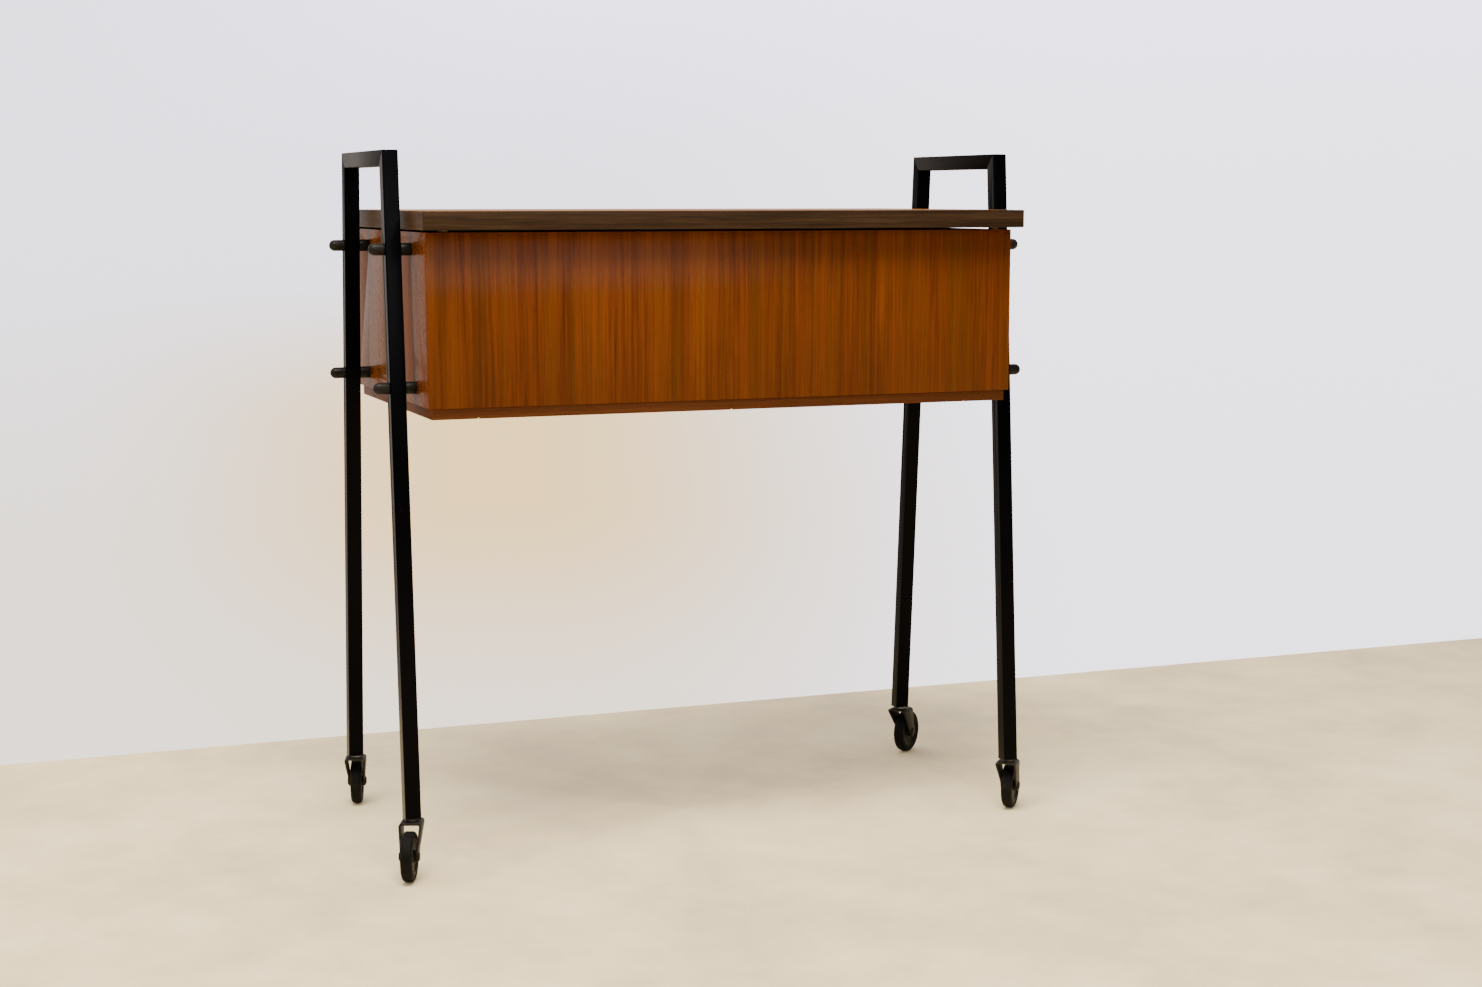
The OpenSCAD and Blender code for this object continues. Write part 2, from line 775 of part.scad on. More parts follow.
caster_stem(-1, 1, turn_bl);  // caster_bl_stem
caster_axle(-1, 1, turn_bl);  // caster_bl_axle
caster_hub(-1, 1, turn_bl);  // caster_bl_hub
caster_tyre(-1, 1, turn_bl);  // caster_bl_tyre
caster_fork(1, 1, turn_br);  // caster_br_fork
caster_stem(1, 1, turn_br);  // caster_br_stem
caster_axle(1, 1, turn_br);  // caster_br_axle
caster_hub(1, 1, turn_br);  // caster_br_hub
caster_tyre(1, 1, turn_br);  // caster_br_tyre
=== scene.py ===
import json
import math

import bpy
from mathutils import Matrix, Vector

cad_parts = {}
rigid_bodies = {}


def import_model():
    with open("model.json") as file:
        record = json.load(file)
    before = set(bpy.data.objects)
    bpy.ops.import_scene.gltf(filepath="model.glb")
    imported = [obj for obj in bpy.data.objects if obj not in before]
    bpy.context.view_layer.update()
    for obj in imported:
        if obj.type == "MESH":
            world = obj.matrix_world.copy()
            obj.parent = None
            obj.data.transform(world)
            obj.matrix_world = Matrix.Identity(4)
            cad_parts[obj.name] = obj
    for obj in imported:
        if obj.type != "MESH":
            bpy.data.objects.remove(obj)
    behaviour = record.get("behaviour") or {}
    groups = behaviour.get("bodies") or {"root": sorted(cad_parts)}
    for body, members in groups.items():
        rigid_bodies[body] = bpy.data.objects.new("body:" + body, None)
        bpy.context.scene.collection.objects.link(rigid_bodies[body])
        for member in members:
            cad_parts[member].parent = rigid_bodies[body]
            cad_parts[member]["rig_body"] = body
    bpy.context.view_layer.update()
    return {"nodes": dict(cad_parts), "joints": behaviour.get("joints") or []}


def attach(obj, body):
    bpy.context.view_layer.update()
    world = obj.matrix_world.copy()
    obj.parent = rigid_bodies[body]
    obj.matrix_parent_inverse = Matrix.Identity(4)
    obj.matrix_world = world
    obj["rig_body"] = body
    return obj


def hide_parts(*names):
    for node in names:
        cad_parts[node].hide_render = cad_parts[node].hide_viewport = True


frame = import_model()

MM = 0.001
WELD = 0.005 * MM       # corners closer than this are one corner
SLIVER = 0.003 * MM     # edges shorter than this are taken out

# ---------------------------------------------------------------------------
# The trestles: two inverted U frames of 16 mm square steel tube, mitred and welded at the
# top corners, ground flush and sprayed satin black. Each leg and each handle bar is one
# length of tube, and the sawn edges are only lightly broken.
# ---------------------------------------------------------------------------


class Wire:
    """A socket of a finish that works in sums like a number. node() adds any other node."""

    def __init__(self, tree, socket):
        self.tree = tree
        self.socket = socket

    def node(self, kind, settings, inputs, out=0):
        made = self.tree.nodes.new(kind)
        for name, value in settings.items():
            if name == "stops":
                ramp = made.color_ramp
                while len(ramp.elements) < len(value):
                    ramp.elements.new(0.5)
                for stop, (place, colour) in zip(ramp.elements, value):
                    stop.position = place
                    stop.color = (*colour, 1)
            else:
                setattr(made, name, value)
        for name, value in inputs.items():
            if isinstance(value, Wire):
                self.tree.links.new(value.socket, made.inputs[name])
            else:
                made.inputs[name].default_value = value
        return Wire(self.tree, made.outputs[out])

    def sum(self, operation, first, second):
        return self.node("ShaderNodeMath", {"operation": operation}, {0: first, 1: second})

    def __add__(self, other):
        return self.sum("ADD", self, other)

    __radd__ = __add__

    def __sub__(self, other):
        return self.sum("SUBTRACT", self, other)

    def __rsub__(self, other):
        return self.sum("SUBTRACT", other, self)

    def __mul__(self, other):
        return self.sum("MULTIPLY", self, other)

    __rmul__ = __mul__

    def noise(self, scale, detail=2, roughness=0.5):
        return self.node("ShaderNodeTexNoise", {},
                         {"Vector": self, "Scale": scale, "Detail": detail, "Roughness": roughness})

    def step(self, low, high):
        """Rises smoothly from 0 at low to 1 at high."""
        return self.node("ShaderNodeMapRange", {"interpolation_type": "SMOOTHSTEP"},
                         {"Value": self, "From Min": low, "From Max": high})

    def stretched(self, scale):
        return self.node("ShaderNodeMapping", {}, {"Vector": self, "Scale": scale})

    def ramp(self, *stops):
        return self.node("ShaderNodeValToRGB", {"stops": stops}, {"Fac": self})

    def tinted(self, colour, amount, blend="MIX"):
        """This colour mixed towards another one."""
        if not isinstance(colour, Wire):
            colour = (*colour, 1)
        return self.node("ShaderNodeMix", {"data_type": "RGBA", "blend_type": blend},
                         {0: amount, 6: self, 7: colour}, out=2)


class Finish:
    """A material. Its constants go on the shader's own sockets, and paint() feeds what varies."""

    def __init__(self, name, **constants):
        self.material = bpy.data.materials.new(name)
        self.material.use_nodes = True
        self.tree = self.material.node_tree
        self.shader = self.tree.nodes["Principled BSDF"]
        for socket, value in constants.items():
            self.shader.inputs[socket.replace("_", " ")].default_value = value
        coordinates = self.tree.nodes.new("ShaderNodeTexCoord")
        self.place = Wire(self.tree, coordinates.outputs["Object"])

    def paint(self, socket, wire):
        self.tree.links.new(wire.socket, self.shader.inputs[socket])

    def bump(self, height, strength, depth):
        self.paint("Normal", height.node("ShaderNodeBump", {}, {
            "Height": height, "Strength": strength, "Distance": depth}))


def alone(piece):
    bpy.ops.object.select_all(action="DESELECT")
    piece.select_set(True)
    bpy.context.view_layer.objects.active = piece


def smooth(piece, degrees=35):
    alone(piece)
    bpy.ops.object.shade_smooth_by_angle(angle=math.radians(degrees))


def bevelled(piece, width, segments=2, degrees=40):
    alone(piece)
    bevel = piece.modifiers.new("bevel", "BEVEL")
    bevel.width = width
    bevel.segments = segments
    bevel.limit_method = "ANGLE"
    bevel.angle_limit = math.radians(degrees)
    bpy.ops.object.modifier_apply(modifier=bevel.name)
    # Where a bevel runs out on a short edge it leaves slivers with no area
    bpy.ops.object.mode_set(mode="EDIT")
    bpy.ops.mesh.select_all(action="SELECT")
    bpy.ops.mesh.remove_doubles(threshold=SLIVER)
    bpy.ops.mesh.dissolve_degenerate(threshold=SLIVER)
    bpy.ops.object.mode_set(mode="OBJECT")
    smooth(piece)


def eased(node, edge, finish, segments=2):
    """A node made again with its sharp edges eased, which stands for the node."""
    source = frame["nodes"][node]
    piece = bpy.data.objects.new(node + "_made", source.data.copy())
    bpy.context.scene.collection.objects.link(piece)
    piece.data.materials.clear()
    piece.data.materials.append(finish.material)
    alone(piece)
    bpy.ops.object.mode_set(mode="EDIT")
    bpy.ops.mesh.select_all(action="SELECT")
    bpy.ops.mesh.remove_doubles(threshold=WELD)
    bpy.ops.mesh.dissolve_limited(angle_limit=math.radians(0.5))
    bpy.ops.object.mode_set(mode="OBJECT")
    bevelled(piece, edge, segments)
    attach(piece, source["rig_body"])
    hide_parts(node)
    return piece


black_paint = Finish("satin black paint", IOR=1.11)
speckle = black_paint.place.noise(900, 3)
clouding = black_paint.place.noise(14, 3)
rubbed = black_paint.place.noise(55, 4).step(0.68, 0.8)
black_paint.paint("Base Color", clouding.ramp(
    (0.3, (0.0004, 0.0004, 0.0009)), (0.7, (0.0010, 0.0009, 0.0016))
).tinted((0.016, 0.015, 0.014), rubbed * 0.25))
black_paint.paint("Roughness", 0.24 + clouding * 0.08 + rubbed * 0.1)
black_paint.bump(speckle, 0.12, 0.05 * MM)

for node in ("left_front_leg", "left_back_leg", "right_front_leg", "right_back_leg",
             "left_handle_bar", "right_handle_bar"):
    eased(node, 0.25 * MM, black_paint)

# ---------------------------------------------------------------------------
# The leg plugs: black moulded plastic, pressed into the tube ends, with a square flange that
# shows as a thin line under each leg.
# ---------------------------------------------------------------------------

black_plastic = Finish("black moulded plastic", IOR=1.22)
mould = black_plastic.place.noise(700, 2)
dulled = black_plastic.place.noise(40, 3)
black_plastic.paint("Base Color", dulled.ramp(
    (0.3, (0.0050, 0.0042, 0.0036)), (0.75, (0.0120, 0.0095, 0.0075))))
black_plastic.paint("Roughness", 0.34 + dulled * 0.16)
black_plastic.bump(mould, 0.1, 0.05 * MM)

eased("leg_sockets", 0.3 * MM, black_plastic)

# ---------------------------------------------------------------------------
# The casters: a pressed steel fork, blackened and gone a little brown, a stem riveted
# into it, an axle with domed heads, and a wheel with a solid black centre and a rubber tyre.
# ---------------------------------------------------------------------------

fork_steel = Finish("blackened fork steel", IOR=1.25)
browned = fork_steel.place.noise(120, 5, 0.6)
fork_steel.paint("Base Color", browned.ramp(
    (0.35, (0.006, 0.0055, 0.0045)), (0.55, (0.011, 0.0095, 0.007)), (0.72, (0.030, 0.021, 0.013))))
fork_steel.paint("Roughness", 0.36 + browned * 0.3)
fork_steel.bump(browned, 0.15, 0.08 * MM)

stem_steel = Finish("dull zinc", Metallic=1.0)
tarnish = stem_steel.place.noise(160, 4)
stem_steel.paint("Base Color", tarnish.ramp((0.3, (0.30, 0.30, 0.30)), (0.7, (0.5, 0.49, 0.47))))
stem_steel.paint("Roughness", 0.32 + tarnish * 0.25)

wheel_black = Finish("wheel centre", IOR=1.18)
wheel_scuffs = wheel_black.place.noise(200, 4)
wheel_black.paint("Base Color", wheel_scuffs.ramp(
    (0.35, (0.0040, 0.0036, 0.0032)), (0.75, (0.0090, 0.0078, 0.0064))))
wheel_black.paint("Roughness", 0.36 + wheel_scuffs * 0.2)
wheel_black.bump(wheel_scuffs, 0.1, 0.05 * MM)

tyre_rubber = Finish("black rubber", IOR=1.15)
dust = tyre_rubber.place.noise(90, 5, 0.65)
tyre_rubber.paint("Base Color", dust.ramp(
    (0.4, (0.0040, 0.0038, 0.0036)), (0.62, (0.0075, 0.0070, 0.0062)), (0.8, (0.020, 0.018, 0.015))))
tyre_rubber.paint("Roughness", 0.5 + dust * 0.25)
tyre_rubber.bump(dust + tyre_rubber.place.noise(1500, 2) * 0.4, 0.2, 0.08 * MM)

wheel_r = 25 * MM
wheel_w = 12 * MM
rim_r = wheel_r - 6 * MM
shoulder = 3.4 * MM


def pick_faces(piece, wanted):
    """Selects the faces whose centre and normal pass the test, in edit mode."""
    bpy.ops.object.mode_set(mode="EDIT")
    bpy.ops.mesh.select_mode(type="FACE")
    bpy.ops.mesh.select_all(action="DESELECT")
    bpy.ops.object.mode_set(mode="OBJECT")
    for face in piece.data.polygons:
        face.select = wanted(face.center, face.normal)
    bpy.ops.object.mode_set(mode="EDIT")


def pick_edges(piece, wanted):
    """Selects the edges whose two ends pass the test, in edit mode."""
    bpy.ops.object.mode_set(mode="EDIT")
    bpy.ops.mesh.select_mode(type="EDGE")
    bpy.ops.mesh.select_all(action="DESELECT")
    bpy.ops.object.mode_set(mode="OBJECT")
    points = piece.data.vertices
    for edge in piece.data.edges:
        edge.select = wanted(*(points[end].co for end in edge.vertices))
    bpy.ops.object.mode_set(mode="EDIT")


def cylinder(name, radius, depth, sides, material):
    bpy.ops.object.select_all(action="DESELECT")
    bpy.ops.mesh.primitive_cylinder_add(vertices=sides, radius=radius, depth=depth)
    piece = bpy.context.object
    piece.name = name
    piece.data.materials.append(material)
    return piece


def model_tyre():
    tyre = cylinder("tyre_model", wheel_r, wheel_w, 96, tyre_rubber.material)
    # Two cuts and a shallow groove between them are the mould's parting line round the tread
    for height in (-0.3 * MM, 0.3 * MM):
        bpy.ops.object.mode_set(mode="EDIT")
        bpy.ops.mesh.select_all(action="SELECT")
        bpy.ops.mesh.bisect(plane_co=(0, 0, height), plane_no=(0, 0, 1), threshold=0.01 * MM)
    pick_faces(tyre, lambda centre, normal: abs(centre.z) < 0.2 * MM)
    groove = 0.992      # of the tread's radius
    bpy.ops.transform.resize(value=(groove, groove, 1))
    pick_edges(tyre, lambda a, b: abs(a.z) > 0.49 * wheel_w and abs(b.z) > 0.49 * wheel_w)
    bpy.ops.mesh.bevel(offset=shoulder, offset_type="OFFSET", segments=8, profile=0.5)
    pick_faces(tyre, lambda centre, normal: centre.xy.length < MM)
    bpy.ops.mesh.inset(thickness=wheel_r - shoulder - rim_r)
    bpy.ops.mesh.delete(type="FACE")
    pick_edges(tyre, lambda a, b: max(a.xy.length, b.xy.length) < rim_r + 0.2 * MM and a.z * b.z > 0)
    bpy.ops.mesh.bridge_edge_loops()
    bpy.ops.mesh.select_all(action="SELECT")
    bpy.ops.mesh.normals_make_consistent(inside=False)
    bpy.ops.object.mode_set(mode="OBJECT")
    smooth(tyre, 40)
    return tyre


def model_hub():
    rim = wheel_w / 2 - 0.6 * MM
    web = wheel_w / 2 - 2 * MM
    boss = wheel_w / 2 + 0.5 * MM
    hub = cylinder("hub_model", rim_r, 2 * rim, 64, wheel_black.material)
    for side in (1, -1):
        def cap(centre, normal):
            return normal.z * side > 0.9 and centre.xy.length < MM
        # Each step goes further in and then up or down: rim, web, a pressed ring, boss
        for inset, rise in ((2.5 * MM, 0), (1 * MM, web - rim), (3.2 * MM, 0), (1.2 * MM, -0.7 * MM),
                            (1.2 * MM, 0.7 * MM), (3 * MM, 0), (1.2 * MM, boss - web)):
            pick_faces(hub, cap)
            bpy.ops.mesh.inset(thickness=inset)
            bpy.ops.transform.translate(value=(0, 0, side * rise))
        bpy.ops.object.mode_set(mode="OBJECT")
    bevelled(hub, 0.25 * MM, 2, 30)
    return hub


def wheel_places():
    """Each wheel's name with the matrix that carries its model from the origin to its axle."""
    for joint in frame["joints"]:
        if joint["name"].startswith("wheel_"):
            turn = Vector(joint["axis"]).to_track_quat("Z", "Y").to_matrix().to_4x4()
            yield joint["name"][6:8], Matrix.Translation(joint["pos_m"]) @ turn


def set_in_place(model, name, matrix, body, slot, *nodes):
    """A copy of a model with its own mesh, carried to its place."""
    piece = bpy.data.objects.new(name, model.data.copy())
    bpy.context.scene.collection.objects.link(piece)
    piece.data.transform(matrix)
    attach(piece, body)
    if nodes:
        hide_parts(*nodes)
    return piece


tyre_model = model_tyre()
hub_model = model_hub()
for corner, matrix in wheel_places():
    wheel, caster = "wheel_" + corner, "caster_" + corner
    set_in_place(tyre_model, caster + "_tyre_made", matrix, wheel, "rubber", caster + "_tyre")
    set_in_place(hub_model, caster + "_hub_made", matrix, wheel, "wheel_plastic", caster + "_hub")
    eased(caster + "_fork", 0.4 * MM, fork_steel)
    eased(caster + "_axle", 0.7 * MM, fork_steel, segments=4)
    eased(caster + "_stem", 0.3 * MM, stem_steel)
bpy.data.objects.remove(tyre_model)
bpy.data.objects.remove(hub_model)

# ---------------------------------------------------------------------------
# The case: four 12 mm boards, mitred and glued at the corners. Outside they wear teak veneer
# with upright grain under a satin lacquer, inside a plain paler veneer, and the rim
# is lipped with solid teak.
# ---------------------------------------------------------------------------

ALONG = {"X": Vector((1, 0, 0)), "Y": Vector((0, 1, 0)), "Z": Vector((0, 0, 1))}


def wood(name, along, tones, pore, cast=None, bands=26, gloss=0.3, contrast=1.7, pores=0.4, shift=0.0,
         ior=1.15):
    """Straight-grained wood: bands, streaks and threads along the grain, with short open pores."""
    made = Finish(name, IOR=ior)
    place = made.place.node("ShaderNodeMapping", {}, {"Vector": made.place, "Location": [shift] * 3})
    sway = place.noise(2.2, 2)
    swayed = place.node("ShaderNodeVectorMath", {"operation": "MULTIPLY_ADD"}, {
        0: sway.node("ShaderNodeCombineXYZ", {}, {"X": sway, "Y": sway, "Z": sway}),
        1: (0.010, 0.010, 0.010), 2: place})

    def drawn_out(by):
        return swayed.stretched(Vector((1, 1, 1)) - ALONG[along] * (1 - by))

    broad = drawn_out(0.040).noise(bands, 2, 0.55)
    streak = drawn_out(0.022).noise(bands * 5, 3, 0.6)
    thread = drawn_out(0.012).noise(bands * 13, 2, 0.6)
    hair = drawn_out(0.020).noise(bands * 38, 1, 0.5)
    figure = (broad - 0.5) * 0.42 + (streak - 0.5) * 0.38 + (thread - 0.5) * 0.34 + (hair - 0.5) * 0.2
    tone = 0.5 + figure * contrast
    open_pore = drawn_out(0.09).noise(bands * 60, 1, 0.4).step(0.60, 0.72)
    colour = tone.ramp(*tones)
    if cast:
        colour = colour.tinted(cast, drawn_out(0.03).noise(bands * 1.9, 2, 0.6).step(0.42, 0.68) * 0.45)
    handled = place.noise(9, 3)
    made.paint("Base Color", colour.tinted(pore, open_pore * pores))
    made.paint("Roughness", gloss + open_pore * 0.15 + (handled - 0.5) * 0.12)
    made.bump(thread * 0.35 - open_pore, 0.22, 0.06 * MM)
    return made


teak = wood("teak veneer", "Z", (
    (0.20, (0.056, 0.0130, 0.0030)),
    (0.40, (0.098, 0.0240, 0.0038)),
    (0.55, (0.132, 0.0330, 0.0046)),
    (0.72, (0.170, 0.0440, 0.0056)),
    (0.90, (0.205, 0.0620, 0.0085)),
), pore=(0.045, 0.012, 0.001), cast=(0.095, 0.036, 0.0040), gloss=0.24)
inner_veneer = wood("plain inner veneer", "Z", (
    (0.25, (0.25, 0.125, 0.055)),
    (0.55, (0.34, 0.185, 0.085)),
    (0.80, (0.42, 0.245, 0.12)),
), pore=(0.15, 0.07, 0.03), gloss=0.5, contrast=1.2, shift=3.1)
rim_wood = wood("solid teak rim", "X", (
    (0.25, (0.10, 0.034, 0.008)),
    (0.55, (0.17, 0.062, 0.014)),
    (0.80, (0.25, 0.10, 0.026)),
), pore=(0.04, 0.014, 0.003), shift=1.7)


def face_with(piece, finish, direction):
    """Gives the faces that look in a direction another finish."""
    piece.data.materials.append(finish.material)
    last = len(piece.data.materials) - 1
    toward = Vector(direction)
    for face in piece.data.polygons:
        if face.normal.dot(toward) > 0.9:
            face.material_index = last


for node, inward in (("front_panel", (0, 1, 0)), ("back_panel", (0, -1, 0)),
                     ("left_side_panel", (1, 0, 0)), ("right_side_panel", (-1, 0, 0))):
    panel = eased(node, 0.35 * MM, teak)
    face_with(panel, inner_veneer, inward)
    face_with(panel, rim_wood, (0, 0, 1))

# ---------------------------------------------------------------------------
# The bottom: a stained board, a little smaller than the case all round, screwed up into the
# panels with countersunk brass screws. Inside it shows the plain veneer.
# ---------------------------------------------------------------------------

bottom_stain = wood("stained bottom board", "X", (
    (0.25, (0.058, 0.017, 0.0050)),
    (0.55, (0.102, 0.033, 0.0098)),
    (0.80, (0.142, 0.051, 0.0170)),
), pore=(0.05, 0.016, 0.005), gloss=0.42, contrast=1.2, shift=5.3)
bottom = eased("bottom_board", 0.5 * MM, bottom_stain)
face_with(bottom, inner_veneer, (0, 0, 1))

brass = Finish("brass", Metallic=1.0)
aged = brass.place.noise(140, 5, 0.6)
brass.paint("Base Color", aged.ramp(
    (0.3, (0.36, 0.22, 0.075)), (0.6, (0.60, 0.41, 0.15)), (0.8, (0.70, 0.50, 0.21))))
brass.paint("Roughness", 0.24 + aged * 0.22)
brass.bump(brass.place.noise(1100, 2), 0.08, 0.03 * MM)


def solids(node):
    """The lowest and highest corner of each separate solid in a node."""
    copy = bpy.data.objects.new("loose", frame["nodes"][node].data.copy())
    bpy.context.scene.collection.objects.link(copy)
    alone(copy)
    bpy.ops.object.mode_set(mode="EDIT")
    bpy.ops.mesh.select_all(action="SELECT")
    bpy.ops.mesh.remove_doubles(threshold=WELD)
    bpy.ops.mesh.separate(type="LOOSE")
    bpy.ops.object.mode_set(mode="OBJECT")
    found = []
    for loose in list(bpy.context.selected_objects):
        points = [point.co for point in loose.data.vertices]
        low = Vector([min(p[k] for p in points) for k in range(3)])
        high = Vector([max(p[k] for p in points) for k in range(3)])
        found.append((low, high))
        bpy.data.objects.remove(loose)
    return sorted(found, key=lambda box: tuple(box[0]))


def model_screw(radius, length, slot_w):
    """A countersunk screw with a slot across its head, which faces up at z = 0."""
    shank = 0.55        # of the head's radius
    head = radius * 0.5
    screw = cylinder("screw_model", radius * shank, length, 24, brass.material)
    bpy.ops.object.mode_set(mode="EDIT")
    bpy.ops.mesh.select_all(action="SELECT")
    bpy.ops.transform.translate(value=(0, 0, -length / 2))
    pick_faces(screw, lambda centre, normal: normal.z > 0.9)
    bpy.ops.transform.translate(value=(0, 0, -head))
    bpy.ops.mesh.extrude_region_move(TRANSFORM_OT_translate={"value": (0, 0, head)})
    bpy.ops.transform.resize(value=(1 / shank, 1 / shank, 1))
    bpy.ops.mesh.inset(thickness=radius * 0.1)
    bpy.ops.object.mode_set(mode="OBJECT")
    bpy.ops.object.select_all(action="DESELECT")
    bpy.ops.mesh.primitive_cube_add(size=1, location=(0, 0, 0), scale=(3 * radius, slot_w, radius * 0.4))
    cutter = bpy.context.object
    alone(screw)
    slot = screw.modifiers.new("slot", "BOOLEAN")
    slot.object = cutter
    bpy.ops.object.modifier_apply(modifier=slot.name)
    bpy.data.objects.remove(cutter)
    smooth(screw, 30)
    return screw


def drive_screws(node, radius, slot_w, up):
    """One slotted screw in each place of a node, its head up or down, at its own turn."""
    boxes = solids(node)
    length = boxes[0][1].z - boxes[0][0].z
    model = model_screw(radius, length, slot_w)
    source = frame["nodes"][node]
    for count, (low, high) in enumerate(boxes):
        head = Vector(((low.x + high.x) / 2, (low.y + high.y) / 2, high.z if up else low.z))
        turn = Matrix.Rotation(math.radians(47 * count + 20), 4, "Z")
        flip = Matrix.Rotation(0 if up else math.pi, 4, "X")
        name = f"{node}_made_{count + 1}"
        stood_for = (node,) if count == 0 else ()
        set_in_place(model, name, Matrix.Translation(head) @ turn @ flip, source["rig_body"], "brass",
                     *stood_for)
    bpy.data.objects.remove(model)


drive_screws("bottom_screws", 3.5 * MM, 0.9 * MM, up=False)

# ---------------------------------------------------------------------------
# The runners: four clear-lacquered beech strips, glued to the inside of the front and the
# back panel. The trays slide on them.
# ---------------------------------------------------------------------------

BEECH = (
    (0.25, (0.46, 0.28, 0.135)),
    (0.55, (0.56, 0.36, 0.185)),
    (0.80, (0.64, 0.44, 0.24)),
)
BEECH_FLECK = (0.33, 0.17, 0.075)
beech_x = wood("beech along the case", "X", BEECH, BEECH_FLECK, gloss=0.42, contrast=1.1, pores=0.45)
for node in ("upper_runners", "lower_runners"):
    eased(node, 0.8 * MM, beech_x, segments=3)

# ---------------------------------------------------------------------------
# The pegs: at each of eight places a bolt runs from inside the case through a black spacer
# and the leg into a black, bullet-shaped cap that is screwed on by hand.
# ---------------------------------------------------------------------------

eased("peg_spacers", 0.5 * MM, black_plastic, segments=3)
eased("peg_caps", 0.4 * MM, black_plastic, segments=3)
eased("frame_bolts", 0.2 * MM, stem_steel)

# ---------------------------------------------------------------------------
# The hinges: two brass butt hinges. One leaf lies on the rim of the back panel and one under the
# lid, so they hold the lid a little off the case. Each has three slotted screws.
# ---------------------------------------------------------------------------

for node in ("hinge_box_leaves", "hinge_lid_leaves", "hinge_pins"):
    eased(node, 0.15 * MM, brass)
drive_screws("hinge_box_screws", 2.2 * MM, 0.55 * MM, up=True)
drive_screws("hinge_lid_screws", 2.2 * MM, 0.55 * MM, up=False)

# ---------------------------------------------------------------------------
# The lid: a veneered board, its grain along the case, edged all round with dark solid wood.
# The front and back edging run the full length and cover the ends of the side edging.
# ---------------------------------------------------------------------------

lid_veneer = wood("teak veneer of the lid", "X", (
    (0.20, (0.085, 0.0245, 0.003)),
    (0.40, (0.155, 0.050, 0.005)),
    (0.55, (0.220, 0.080, 0.009)),
    (0.72, (0.295, 0.120, 0.014)),
    (0.90, (0.350, 0.160, 0.024)),
), pore=(0.045, 0.013, 0.002), shift=7.7)
EDGING = (
    (0.20, (0.0130, 0.0066, 0.0034)),
    (0.45, (0.0250, 0.0134, 0.0070)),
    (0.62, (0.0370, 0.0200, 0.0104)),
    (0.85, (0.0620, 0.0360, 0.0200)),
)
EDGING_PORE = (0.014, 0.007, 0.003)
edging_x = wood("dark edging along the case", "X", EDGING, EDGING_PORE, bands=60, gloss=0.4, shift=2.2)
edging_y = wood("dark edging across the case", "Y", (
    (0.20, (0.024, 0.0118, 0.0055)),
    (0.45, (0.044, 0.0230, 0.0108)),
    (0.62, (0.064, 0.0345, 0.0165)),
    (0.85, (0.100, 0.0580, 0.0300)),
), EDGING_PORE, bands=60, gloss=0.4, shift=4.2)
end_grain = wood("end grain of the edging", "Z", (
    (0.25, (0.018, 0.0095, 0.0045)), (0.75, (0.036, 0.02, 0.0105))
), EDGING_PORE, bands=160, gloss=0.5, shift=6.2)

lid_board = eased("lid_core", 0.12 * MM, lid_veneer)
face_with(lid_board, inner_veneer, (0, 0, -1))
for node in ("lid_front_lipping", "lid_back_lipping"):
    edging = eased(node, 0.6 * MM, edging_x, segments=3)
    face_with(edging, end_grain, (1, 0, 0))
    face_with(edging, end_grain, (-1, 0, 0))
eased("lid_end_lippings", 0.5 * MM, edging_y, segments=3)

# ---------------------------------------------------------------------------
# The felts: two discs of brown felt, glued under the front corners of the lid, and a strip
# on the rim of the back panel, between and beside the hinges, which keeps the dust out.
# ---------------------------------------------------------------------------

felt = Finish("brown felt", Roughness=0.95, Sheen_Weight=0.4)
fibre = felt.place.noise(1400, 4, 0.7)
felt.paint("Base Color", fibre.ramp((0.3, (0.035, 0.022, 0.014)), (0.7, (0.085, 0.056, 0.036))))
felt.bump(fibre, 0.6, 0.2 * MM)
eased("lid_bumpers", 0.4 * MM, felt, segments=3)
eased("back_rim_felt", 0.4 * MM, felt, segments=3)

# ---------------------------------------------------------------------------
# The trays: beech boards, finger-jointed at the corners, with a birch plywood bottom let in
# a little above their lower edge and thinner dividers. The upper one has turned spool pins.
# ---------------------------------------------------------------------------

beech_y = wood("beech across the case", "Y", BEECH, BEECH_FLECK, gloss=0.42, contrast=1.1, pores=0.45,
               shift=1.3)
beech_end = wood("beech end grain", "Z", (
    (0.25, (0.30, 0.165, 0.075)), (0.75, (0.42, 0.25, 0.12))
), BEECH_FLECK, bands=120, gloss=0.55, shift=2.6)
birch = wood("birch plywood", "X", (
    (0.25, (0.58, 0.41, 0.235)), (0.55, (0.66, 0.485, 0.29)), (0.80, (0.73, 0.56, 0.36))
), (0.46, 0.29, 0.15), bands=14, gloss=0.5, contrast=1.0, pores=0.25, shift=3.9)
turned_birch = wood("turned birch", "Z", (
    (0.25, (0.56, 0.38, 0.20)), (0.75, (0.68, 0.50, 0.29))
), (0.42, 0.25, 0.12), bands=60, gloss=0.4, contrast=1.0, pores=0.3)

FINGERS = 7
proud = 0.04 * MM


